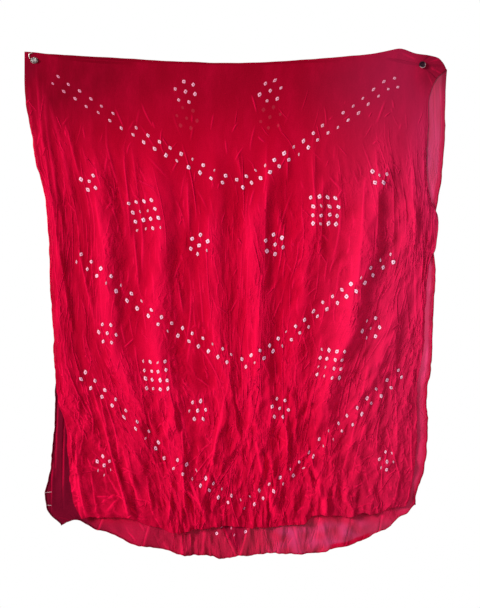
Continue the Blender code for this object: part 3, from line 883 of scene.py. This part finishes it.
def dyed_cotton(settings):
    """Thin crimson cotton with painted light and shade: painted shade darkens the valleys, the smooth top and
    other shaded parts, painted highlights make the ridges and creases pinker, painted light from behind makes
    it paler towards the right, and emission paints a glow through the single layer and the dots. It has slubs,
    a plain weave, fine crinkles, and undyed dots with a dyed speck and puckers."""
    cotton = Finish("dyed_cotton")
    ridge = cotton.value("ridge")
    depth = cotton.value("depth")
    haze = cotton.value("haze")
    sheer = cotton.value("sheer")
    crinkle = cotton.value("crinkle")
    crumple = cotton.value("crumple")
    glow = cotton.value("glow")
    whiteness = cotton.value("dot_strength")

    streaks = cotton.noise(cotton.map("cloth", (1.0, 0.12, 1.0)), 420.0, 3.0, 0.6)
    clouds = cotton.noise(cotton.map("lie", (1.0, 0.35, 1.0)), 24.0, 3.0, 0.55)
    weft = cotton.noise(cotton.map("cloth", (0.05, 1.0, 1.0)), 700.0, 2.0, 0.6)

    bent = cotton.bent_map("lie", 90.0, 0.011)
    patches = cotton.step(cotton.noise(cotton.scaled(bent, (1.0, 0.5, 1.0)), 21.0, 2.0), 0.38, 0.66)
    long_facets = cotton.borders(cotton.scaled(bent, (1.0, 0.36, 1.0)), 105.0, 3.0)
    small_facets = cotton.borders(cotton.scaled(bent, (1.0, 0.55, 1.0)), 200.0, 2.6)
    crumpled_facets = cotton.borders(cotton.scaled(bent, (1.0, 0.66, 1.0)), 46.0, 2.3)
    crumple_lines = cotton.borders(cotton.scaled(bent, (1.0, 0.66, 1.0)), 46.0, 9.0)
    crushed_facets = cotton.borders(cotton.scaled(bent, (1.0, 0.80, 1.0)), 88.0, 2.2)
    wrinkles = cotton.noise(cotton.scaled(bent, (1.0, 0.16, 1.0)), 150.0, 2.0, 0.5, 0.4)

    crease_place = cotton.add("ShaderNodeUVMap", {"uv_map": "creases"}, {})
    beside = cotton.add("ShaderNodeSeparateXYZ", {}, {0: crease_place}, 0)
    rise = cotton.add("ShaderNodeSeparateXYZ", {}, {0: crease_place}, 1)
    crease = cotton.math_clamped(beside.math("MINIMUM", 1.0 + beside, 1.0 - beside * 0.68)) * rise

    # Painted shade: the dye colour darkens towards the painted shade colour as the painted shade value rises, and
    # towards a near-black red past 1.25.
    painted_shade_tone = cotton.blend(depth, tuple(settings.dye_colour), tuple(settings.painted_shade_colour))
    painted_shade_tone = cotton.blend(cotton.step(depth, 1.25, 1.5), painted_shade_tone, (0.165, 0.0030, 0.019))
    # Painted highlights and shade from the relief: fold crests, creases, crinkle facets and crumple lines turn towards
    # the paler, pinker painted highlight colour and the valleys towards the painted shade, with random clouds and
    # slubs of tone.
    light = ridge * 0.8 + (clouds - 0.5) * 0.9 + (streaks - 0.5) * 0.30 + crease * 0.52
    light = light + (long_facets - 0.4) * crinkle * patches * 0.3
    light = light + (crumple_lines * (patches * 0.7 + 0.3) - 0.14) * crumple * 0.26
    dyed = cotton.blend(cotton.step(light, -0.2, 1.15), painted_shade_tone, tuple(settings.painted_highlight_colour))
    # Painted light from behind: a pale pink veil over the thin single layer, towards the right and on part of the
    # back's hem strip.
    dyed = cotton.blend(haze, dyed, tuple(settings.painted_haze_colour))

    places = cotton.add("ShaderNodeUVMap", {"uv_map": "dots"}, {})
    across = cotton.add("ShaderNodeSeparateXYZ", {}, {0: places}, 0)
    down = cotton.add("ShaderNodeSeparateXYZ", {}, {0: places}, 1)
    ragged = cotton.noise(cotton.map("cloth", (1.0, 1.0, 1.0)), 460.0, 2.0, 0.5)
    power = 1.4
    away = (across.size() ** power + down.size() ** power) ** (1.0 / power)
    away = away * 0.93 + (ragged - 0.5) * 0.6
    dot = (1.0 - cotton.step(away, 0.84, 1.12)) * whiteness
    speck = (1.0 - cotton.step(away, 0.16, 0.50)) * cotton.step(whiteness, 0.1, 0.3)
    # Painted shadow: a dark ring round each dot in the painted shade colour.
    painted_rim = cotton.step(away, 0.9, 1.1) * (1.0 - cotton.step(away, 1.1, 1.7)) * whiteness
    dyed = cotton.blend(painted_rim * 0.5, dyed, tuple(settings.painted_shade_colour))
    # The dots are tinted pinker at random and where painted shade lies.
    pink = cotton.math_clamped(ragged * 0.25 + depth * 0.6)
    undyed = cotton.blend(pink, tuple(settings.dot_colour), (1.0, 0.36, 0.51))
    coloured = cotton.blend(dot, dyed, undyed)
    coloured = cotton.blend(speck * 0.9, coloured, tuple(settings.speck_colour))

    threads = cotton.map("cloth", (7800.0, 7800.0, 1.0))
    warp = cotton.add("ShaderNodeSeparateXYZ", {}, {0: threads}, 0)
    cross = cotton.add("ShaderNodeSeparateXYZ", {}, {0: threads}, 1)
    weave = warp.math("SINE", warp) * cross.math("SINE", cross)
    ring = across.math("ARCTAN2", across, down)
    puckers = ring.math("SINE", ring * 9.0) * (1.0 - cotton.step(away, 0.9, 2.0)) * cotton.step(away, 0.2, 0.9)
    peak = 1.0 - cotton.step(away, 0.0, 1.3)
    fine = (long_facets + small_facets * 0.5) * (patches * 0.85 + 0.15) + wrinkles * 0.5
    fine = fine * (1.0 - crumple * 0.35)
    normal = cotton.bump(fine * crinkle, settings.crinkle_height)
    crumples = crumpled_facets * patches + crushed_facets * (1.2 - patches) * 0.25
    normal = cotton.bump(crumples * crumple, settings.crinkle_height * 1.4, normal)
    normal = cotton.bump(crease, 0.00085, normal)
    normal = cotton.bump((peak * 1.2 + puckers * 0.25) * whiteness, 0.0012, normal)
    normal = cotton.bump(weave * 0.5 + streaks * 1.5 + weft * 1.2, 0.00006, normal)

    # Painted glow: emission lights the single layer where the front shades it, and the undyed dots, as if light came
    # through them from behind.
    through = cotton.blend(glow, (0.0, 0.0, 0.0), tuple(settings.through_colour))
    cotton.surface(
        Base_Color=coloured, Normal=normal, Alpha=1.0 - sheer * (1.0 - dot * 0.6),
        Roughness=0.85 + (streaks - 0.5) * 0.2, Specular_IOR_Level=0.012, Emission_Strength=1.0,
        Emission_Color=cotton.blend(dot * (1.0 - speck), through, tuple(settings.dot_through_colour)),
    )
    return cotton.material


def undyed_thread():
    """Undyed cotton thread: pale, with fine twisted plies."""
    thread = Finish("undyed_thread")
    places = thread.add("ShaderNodeTexCoord", {}, {}, output="Object")
    plies = thread.noise(thread.scaled(places, (1.0, 1.0, 3.0)), 1600.0)
    tone = thread.blend(plies, (0.62, 0.30, 0.36), (0.98, 0.78, 0.82))
    thread.surface(Base_Color=tone, Roughness=0.85, Specular_IOR_Level=0.1, Normal=thread.bump(plies, 0.0002))
    return thread.material


def worn_silver():
    """Silver-grey metal: a mottled, lightly pitted face, darker and rougher in its hollows."""
    silver = Finish("worn_silver")
    places = silver.add("ShaderNodeTexCoord", {}, {}, output="Object")
    mottle = silver.noise(places, 420.0, 4.0, 0.65)
    pits = silver.cells(places, 900.0)
    scratches = silver.noise(silver.add("ShaderNodeMapping", {}, {"Vector": places, "Scale": (1.0, 1.0, 9.0)}), 700.0)
    grooves = silver.borders(places, 190.0, 7.0)
    stops = ((0.26, (0.13, 0.12, 0.115)), (0.46, (0.52, 0.50, 0.48)), (0.66, (0.92, 0.90, 0.87)))
    mixed = mottle * 0.8 + scratches * 0.2 - grooves * 0.22
    tone = silver.add("ShaderNodeValToRGB", {"stops": stops}, {"Fac": mixed})
    silver.surface(
        Base_Color=tone, Metallic=0.6, Roughness=0.26 + mottle * 0.3,
        Normal=silver.bump(mottle * 1.0 + pits * 0.4 - grooves * 0.8, 0.0009),
    )
    return silver.material


def pale_drawn_wire():
    """Pale wire: drawn lines along it and a few dull spots."""
    wire = Finish("pale_drawn_wire")
    places = wire.add("ShaderNodeTexCoord", {}, {}, output="Object")
    lines = wire.noise(wire.add("ShaderNodeMapping", {}, {"Vector": places, "Scale": (6.0, 6.0, 0.6)}), 900.0)
    spots = wire.noise(places, 600.0, 3.0)
    tone = wire.blend(spots, (0.52, 0.47, 0.41), (0.95, 0.90, 0.83))
    wire.surface(
        Base_Color=tone, Metallic=0.7, Roughness=0.25 + spots * 0.3, Normal=wire.bump(lines, 0.0002),
    )
    return wire.material


def dark_plated(middle):
    """Dark plated metal: nearly black with a painted red-purple reflection inside, and a painted pale highlight
    along its edge, ragged by noise and most at the lower right."""
    plated = Finish("dark_plated")
    places = plated.add("ShaderNodeTexCoord", {}, {}, output="Object")
    centred = plated.add("ShaderNodeMapping", {}, {"Vector": places, "Location": (-middle[0], 0.0, -middle[1])})
    flat = plated.add("ShaderNodeVectorMath", {"operation": "MULTIPLY"}, {0: centred, 1: (1.0, 0.0, 1.0)})
    radius = plated.add("ShaderNodeVectorMath", {"operation": "LENGTH"}, {0: flat}, output="Value") / MM
    sides = {0: centred, 1: (600.0, 0.0, -800.0)}
    lower = plated.add("ShaderNodeVectorMath", {"operation": "DOT_PRODUCT"}, sides, output="Value") / 6.0
    worn = plated.noise(places, 650.0, 4.0, 0.6)
    # Painted highlight: a pale band round the outer edge, mostly at the lower right.
    painted_rim = plated.step(radius + (worn - 0.5) * 3.0, 5.0, 7.0) * plated.step(lower + (worn - 0.5) * 1.2, -0.5, 0.7)
    # Painted reflection: the red-purple of the cloth in the near-black base colour.
    tone = plated.blend(painted_rim, (0.060, 0.018, 0.036), (0.85, 0.78, 0.80))
    plated.surface(
        Base_Color=tone, Metallic=0.85, Roughness=0.16 + worn * 0.25, Normal=plated.bump(worn, 0.0003),
    )
    return plated.material


def place_piece(name, mesh, material):
    """Link a mesh as a piece of the object that rides on the frame."""
    piece = bpy.data.objects.new(name, mesh)
    bpy.context.scene.collection.objects.link(piece)
    mesh.materials.append(material)
    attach(piece, "root")
    return piece


class BANDHANI_PG_cloth(bpy.types.PropertyGroup):
    """Sizes and colours of the cloth."""

    roll_radius: bpy.props.FloatProperty(
        name="Hem roll", description="Radius of the narrow rolled hem", default=1.4 * MM, min=0.5 * MM,
        max=3.0 * MM, unit="LENGTH",
    )
    dot_radius: bpy.props.FloatProperty(
        name="Dot radius", description="Radius of an undyed dot on the flat cloth", default=4.45 * MM,
        min=2.0 * MM, max=9.0 * MM, unit="LENGTH",
    )
    crinkle_height: bpy.props.FloatProperty(
        name="Crinkle height", description="Height of the finest crinkles", default=1.9 * MM,
        min=0.0, max=4.0 * MM, unit="LENGTH",
    )
    dye_colour: bpy.props.FloatVectorProperty(
        name="Dye", description="Colour of the dyed cotton", subtype="COLOR", size=3, min=0.0, max=1.0,
        default=(0.46, 0.0006, 0.019),
    )
    # Painted shade colour: the tone of the painted shade in the valleys and shaded parts, and of the painted shadow
    # ring round each dot.
    painted_shade_colour: bpy.props.FloatVectorProperty(
        name="Deep dye", description="Colour where the dye is deepest", subtype="COLOR", size=3, min=0.0,
        max=1.0, default=(0.22, 0.0010, 0.012),
    )
    # Painted highlight colour for the crests of the folds, the creases and the crinkles.
    painted_highlight_colour: bpy.props.FloatVectorProperty(
        name="Ridges", description="Colour along the worn ridges of the folds", subtype="COLOR", size=3,
        min=0.0, max=1.0, default=(0.80, 0.0035, 0.056),
    )
    # Painted light from behind: the pale pink of light seen through the thin cloth.
    painted_haze_colour: bpy.props.FloatVectorProperty(
        name="Thin parts", description="Colour of the thinner cloth towards the right", subtype="COLOR",
        size=3, min=0.0, max=1.0, default=(0.64, 0.055, 0.225),
    )
    # Painted glow colours, given off as emission.
    through_colour: bpy.props.FloatVectorProperty(
        name="Light through", description="Colour of the light that comes through the single layer",
        subtype="COLOR", size=3, min=0.0, max=1.0, default=(0.36, 0.010, 0.058),
    )
    dot_through_colour: bpy.props.FloatVectorProperty(
        name="Light through dots", description="Colour of the light that comes through the undyed dots",
        subtype="COLOR", size=3, min=0.0, max=1.0, default=(0.22, 0.045, 0.155),
    )
    dot_colour: bpy.props.FloatVectorProperty(
        name="Undyed dots", description="Colour of the undyed cotton", subtype="COLOR", size=3, min=0.0,
        max=1.0, default=(1.0, 0.80, 0.87),
    )
    speck_colour: bpy.props.FloatVectorProperty(
        name="Dot specks", description="Colour of the dyed speck in a dot", subtype="COLOR", size=3,
        min=0.0, max=1.0, default=(0.20, 0.035, 0.075),
    )


class BANDHANI_PG_stage(bpy.types.PropertyGroup):
    """Camera, light and floor."""

    camera_distance: bpy.props.FloatProperty(
        name="Camera distance", description="From the camera to the cloth", default=2.6, min=1.0,
        max=10.0, unit="LENGTH",
    )
    frame_height: bpy.props.FloatProperty(
        name="Frame height", description="Height of the view at the cloth", default=1.3194, min=0.1,
        max=5.0, unit="LENGTH",
    )
    key_power: bpy.props.FloatProperty(
        name="Key light", description="Power of the large soft light on the left", default=1060.0, min=0.0,
        max=5000.0, unit="POWER",
    )
    fill_power: bpy.props.FloatProperty(
        name="Fill light", description="Power of the soft light on the right", default=5.0, min=0.0,
        max=1000.0, unit="POWER",
    )
    sky_strength: bpy.props.FloatProperty(
        name="Sky", description="Strength of the even light from all round", default=0.24, min=0.0,
        max=2.0,
    )
    floor_level: bpy.props.FloatProperty(
        name="Floor level", description="Height of the floor", default=-1.5, min=-3.0, max=-1.2,
        unit="LENGTH",
    )


class BANDHANI_OT_cloth(bpy.types.Operator):
    """Make the dyed cloth, in two layers hung from the studs, in place of its plain solid"""

    bl_idname = "bandhani.cloth"
    bl_label = "Dyed cloth"

    def execute(self, context):
        settings = context.scene.bandhani_cloth
        points, maps = sheet_arrays(settings.roll_radius / MM)
        mesh, faces = grid_mesh("dyed_cloth", points)
        share, fine, flat_across, flat_down, layer, rolled = np.moveaxis(maps, -1, 0)
        across, down = points[..., 0] / MM, -points[..., 2] / MM
        crinkled, crumpled = crinkle_masks(share, down)
        folds = main_folds(across, down)
        # Painted highlight: higher on the crests of the main folds and of the fine relief.
        ridge = np.clip(folds / 20.0, 0.0, 1.0) * 0.75 + np.clip(fine / 7.0, 0.0, 1.0) * 0.4
        top = 1.0 - smooth_step(down, 20.0, 230.0)
        left_end = (1.0 - smooth_step(share, 0.01, 0.06)) * (1.0 - smooth_step(down, 260.0, 420.0))
        back = smooth_step(layer, 0.3, 0.9)
        low_left = back * smooth_step(down, 460.0, 620.0) * (1.0 - smooth_step(across, 88.0, 150.0))
        from_hem = FLAT_BACK - BACK_DOTS_LATER - flat_down
        turned = back * (1.0 - smooth_step(from_hem, 7.0, 11.0)) * smooth_step(across, 635.0, 650.0)
        turned = turned * (1.0 - smooth_step(across, 722.0, 735.0))
        pleat_down = np.clip((down - 1012.0) / 62.0, 0.0, 1.0)
        pleat = smooth_step(30.0 * (1.0 - pleat_down) - np.abs(across - 433.0 - 10.0 * pleat_down), 0.0, 4.0)
        pleat = pleat * back * smooth_step(down, 960.0, 1005.0)
        low = (1.0 - back) * smooth_step(down, 600.0, 960.0)
        right = smooth_step(share, 0.62, 0.98)
        single = back * smooth_step(share, 0.93, 0.97) * (1.0 - smooth_step(down, 960.0, 1000.0))
        single = single * (1.0 - 0.8 * smooth_step(share, 0.988, 0.994)) * (1.0 - 0.75 * smooth_step(down, 620.0, 760.0))
        mottle = 0.6 + 0.8 * np.clip(soft_noise(across / 16.0, down / 70.0, 62) + 0.5, 0.0, 1.0)
        # Painted light from behind on the single layer's band, mottled.
        pale_band = single * (0.45 + 0.75 * smooth_step(down, 60.0, 260.0)) * mottle
        right_roll = rolled * (1.0 - back) * smooth_step(share, 0.5, 0.9) * smooth_step(down, 20.0, 90.0)
        corner = smooth_step(across, 800.0, 858.0) * (1.0 - smooth_step(down, 28.0, 90.0))
        # Painted light from behind along the front layer's right edge.
        backlit = (1.0 - back) * smooth_step(share, 0.93, 1.0) * smooth_step(down, 70.0, 160.0)
        backlit = backlit * (1.0 - smooth_step(down, 300.0, 420.0))
        strip = back * smooth_step(down, 985.0, 1015.0)
        near_hem = (1.0 - back) * smooth_step(down, 850.0, 1010.0)
        # Painted light from behind on a mottled part of the back's hem strip.
        pale = strip * smooth_step(across, 480.0, 560.0) * (1.0 - smooth_step(across, 690.0, 740.0))
        pale = pale * np.clip(0.35 + 0.8 * soft_noise(across / 34.0, down / 22.0, 61), 0.0, 1.0)
        values = {
            # Painted highlight on the crests, weaker on the back's hem strip, and painted shade on the back's lower
            # left strip.
            "ridge": ridge * (1.0 - low_left) * (1.0 - 0.35 * strip) - 0.3 * low_left,
            # Painted glow on the single layer, strongest lower down where the front layer shades it.
            "glow": single * (0.12 + 0.88 * smooth_step(down, 235.0, 330.0)) * (1.0 - rolled),
            # Painted shade: darker at the smooth top, towards the left, on the back's lower left strip in the front's
            # shadow, on the rolled hems, low on the front, in the pleat, on the back's hem strip, near the front hem,
            # along the upper left edge and at the right stud's corner; less on the front's right roll and on the
            # turned band.
            "depth": np.clip(
                (0.9 - 0.2 * smooth_step(share, 0.15, 0.4)) * top + 1.5 * low_left + 0.9 * rolled - 0.8 * right_roll + 0.38 * low
                + 0.9 * pleat - 0.4 * turned + 0.35 * (1.0 - smooth_step(share, 0.0, 0.32)) + 0.65 * strip
                + 0.1 * left_end + 0.35 * near_hem + 0.3 * corner, 0.0, 1.5,
            ),
            # Painted light from behind: paler towards the right, on the single layer's band, the hem strip and the
            # front's right edge, less where painted shade lies.
            "haze": np.clip(
                0.17 * right * (1.0 - 0.4 * low) * (1.0 - 0.6 * corner) + 0.28 * pale_band + 0.08 * strip
                + 0.45 * pale + 0.10 * backlit, 0.0, 0.85,
            )
            * (1.0 - low_left) * (1.0 - 0.8 * rolled + 0.8 * right_roll) * (1.0 - 0.9 * turned) * (1.0 - 0.7 * pleat),
            "sheer": (0.002 + 0.020 * single + 0.010 * strip * smooth_step(share, 0.3, 0.8))
            * (1.0 - rolled) * (1.0 - low_left) * (1.0 - turned) * (1.0 - pleat),
            "crinkle": crinkled * (0.5 + 0.5 * crumpled) * (0.7 + 0.3 * np.clip(folds / 15.0, 0.0, 1.0))
            * (1.0 - 0.45 * back * (1.0 - smooth_step(share, 0.92, 0.96))),
            "crumple": (1.0 - back) * smooth_step(down, 560.0, 840.0) + 0.2 * strip,
        }
        for name, value in values.items():
            set_point_values(mesh, name, value)
        flat = np.stack([flat_across, flat_down + 2400.0 * (layer > 0.5)], axis=-1) * MM
        set_map(mesh, "cloth", flat.reshape(-1, 2)[faces])
        lanes = np.pad(np.linspace(0.0, float(sum(LANES_BETWEEN_LINES)), COLUMNS), ROLL_STEPS, mode="edge")
        lie = np.stack([lanes * LANE_WIDTH + 2000.0 * layer, down], axis=-1) * MM
        set_map(mesh, "lie", lie.reshape(-1, 2)[faces])
        set_map(mesh, "creases", crease_places(across, lanes * LANE_WIDTH + 0.0 * down, down, layer))
        places, strength = dot_coordinates(maps, settings.dot_radius / MM)
        set_map(mesh, "dots", places)
        set_corner_values(mesh, "dot_strength", strength)
        cloth = place_piece("dyed_cloth", mesh, dyed_cotton(settings))
        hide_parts("bandhani_cloth")
        return {"FINISHED"}


class BANDHANI_OT_stitches(bpy.types.Operator):
    """Make the two loose stitches over the left side hem, after the cloth"""

    bl_idname = "bandhani.stitches"
    bl_label = "Loose stitches"

    def execute(self, context):
        points, maps = sheet_arrays(context.scene.bandhani_cloth.roll_radius / MM)
        thread = undyed_thread()
        for number, rings in enumerate(hem_stitches(points, maps[..., 4]), start=1):
            mesh, _ = grid_mesh(f"hem_stitch_{number}", rings, around=True)
            place_piece(f"hem_stitch_{number}", mesh, thread)
        return {"FINISHED"}


class BANDHANI_OT_studs(bpy.types.Operator):
    """Give the two studs and the wire their metal finishes"""

    bl_idname = "bandhani.studs"
    bl_label = "Studs and wire"

    def execute(self, context):
        low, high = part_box("right_stud")
        middle = ((low.x + high.x) / 2, (low.z + high.z) / 2)
        finishes = {
            "left_stud": worn_silver(), "left_stud_wire": pale_drawn_wire(),
            "right_stud": dark_plated(middle),
        }
        for node, material in finishes.items():
            for material_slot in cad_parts[node].material_slots:
                material_slot.material = material
        return {"FINISHED"}


class BANDHANI_OT_stage(bpy.types.Operator):
    """Set the camera, the soft lights, the sky and the floor"""

    bl_idname = "bandhani.stage"
    bl_label = "Stage"

    def execute(self, context):
        settings = context.scene.bandhani_stage
        middle = (0.447, -0.012, -0.5295)
        camera_data = bpy.data.cameras.new("camera")
        camera_data.lens = camera_data.sensor_width * settings.camera_distance / settings.frame_height
        camera = bpy.data.objects.new("camera", camera_data)
        camera.location = (middle[0], middle[1] - settings.camera_distance, middle[2])
        camera.rotation_euler = (math.radians(90), 0.0, 0.0)
        context.scene.collection.objects.link(camera)
        context.scene.camera = camera
        context.scene.view_settings.view_transform = "Standard"
        self.light(context, "key", (-7.2, -5.6, 2.4), 3.0, settings.key_power, (1.0, 0.97, 0.96))
        self.light(context, "fill", (1.9, -1.9, -0.3), 1.6, settings.fill_power, (0.97, 0.97, 1.0))
        self.light(context, "back", (0.9, 2.4, 0.4), 1.6, settings.fill_power * 2, (1.0, 1.0, 1.0))
        self.sky(context, settings.sky_strength)
        self.floor(settings.floor_level)
        return {"FINISHED"}

    def light(self, context, name, place, size, power, colour):
        """A square soft light that faces the middle of the cloth."""
        data = bpy.data.lights.new(name, "AREA")
        data.size = size
        data.energy = power
        data.color = colour
        lamp = bpy.data.objects.new(name, data)
        lamp.location = place
        towards = Vector((0.43, 0.0, -0.5)) - Vector(place)
        lamp.rotation_euler = towards.to_track_quat("-Z", "Y").to_euler()
        context.scene.collection.objects.link(lamp)

    def sky(self, context, strength):
        """An even white sky, seen whole and lighting less."""
        world = bpy.data.worlds.new("studio")
        world.use_nodes = True
        tree = world.node_tree
        background = tree.nodes["Background"]
        background.inputs["Color"].default_value = (1.0, 1.0, 1.0, 1.0)
        seen = tree.nodes.new("ShaderNodeLightPath")
        share = tree.nodes.new("ShaderNodeMapRange")
        share.inputs["To Min"].default_value = strength
        share.inputs["To Max"].default_value = 1.0
        tree.links.new(seen.outputs["Is Camera Ray"], share.inputs["Value"])
        tree.links.new(share.outputs[0], background.inputs["Strength"])
        context.scene.world = world

    def floor(self, level):
        """A pale matt floor under the cloth."""
        across, along = np.meshgrid(np.linspace(-1.6, 2.5, 9), np.linspace(-3.0, 0.9, 9))
        points = np.stack([across, along, np.full_like(across, level)], axis=-1)
        mesh, faces = grid_mesh("pale_floor", points)
        matt = Finish("pale_floor")
        places = matt.add("ShaderNodeTexCoord", {}, {}, output="Object")
        speckle = matt.noise(places, 9.0, 4.0)
        matt.surface(Base_Color=matt.blend(speckle, (0.80, 0.79, 0.78), (0.86, 0.86, 0.85)), Roughness=0.9)
        mesh.materials.append(matt.material)
        floor = bpy.data.objects.new("pale_floor", mesh)
        bpy.context.scene.collection.objects.link(floor)


class BANDHANI_PT_sidebar(bpy.types.Panel):
    """Lists the steps that make the cloth, its studs and the stage"""

    bl_idname = "BANDHANI_PT_sidebar"
    bl_label = "Bandhani cloth"
    bl_space_type = "VIEW_3D"
    bl_region_type = "UI"
    bl_category = "Bandhani"

    def draw(self, context):
        for settings in (context.scene.bandhani_cloth, context.scene.bandhani_stage):
            for name in settings.bl_rna.properties.keys():
                if name not in ("rna_type", "name"):
                    self.layout.prop(settings, name)
        for operator in OPERATORS:
            self.layout.operator(operator.bl_idname)


OPERATORS = (BANDHANI_OT_cloth, BANDHANI_OT_stitches, BANDHANI_OT_studs, BANDHANI_OT_stage)
CLASSES = (BANDHANI_PG_cloth, BANDHANI_PG_stage, *OPERATORS, BANDHANI_PT_sidebar)


def register():
    """Add the classes and their settings."""
    for added in CLASSES:
        bpy.utils.register_class(added)
    bpy.types.Scene.bandhani_cloth = bpy.props.PointerProperty(type=BANDHANI_PG_cloth)
    bpy.types.Scene.bandhani_stage = bpy.props.PointerProperty(type=BANDHANI_PG_stage)


def unregister():
    """Take the classes and their settings away."""
    del bpy.types.Scene.bandhani_stage
    del bpy.types.Scene.bandhani_cloth
    for added in reversed(CLASSES):
        bpy.utils.unregister_class(added)


def main():
    """Make every piece in order."""
    register()
    bpy.ops.bandhani.cloth()
    bpy.ops.bandhani.stitches()
    bpy.ops.bandhani.studs()
    bpy.ops.bandhani.stage()


if __name__ == "__main__":
    main()
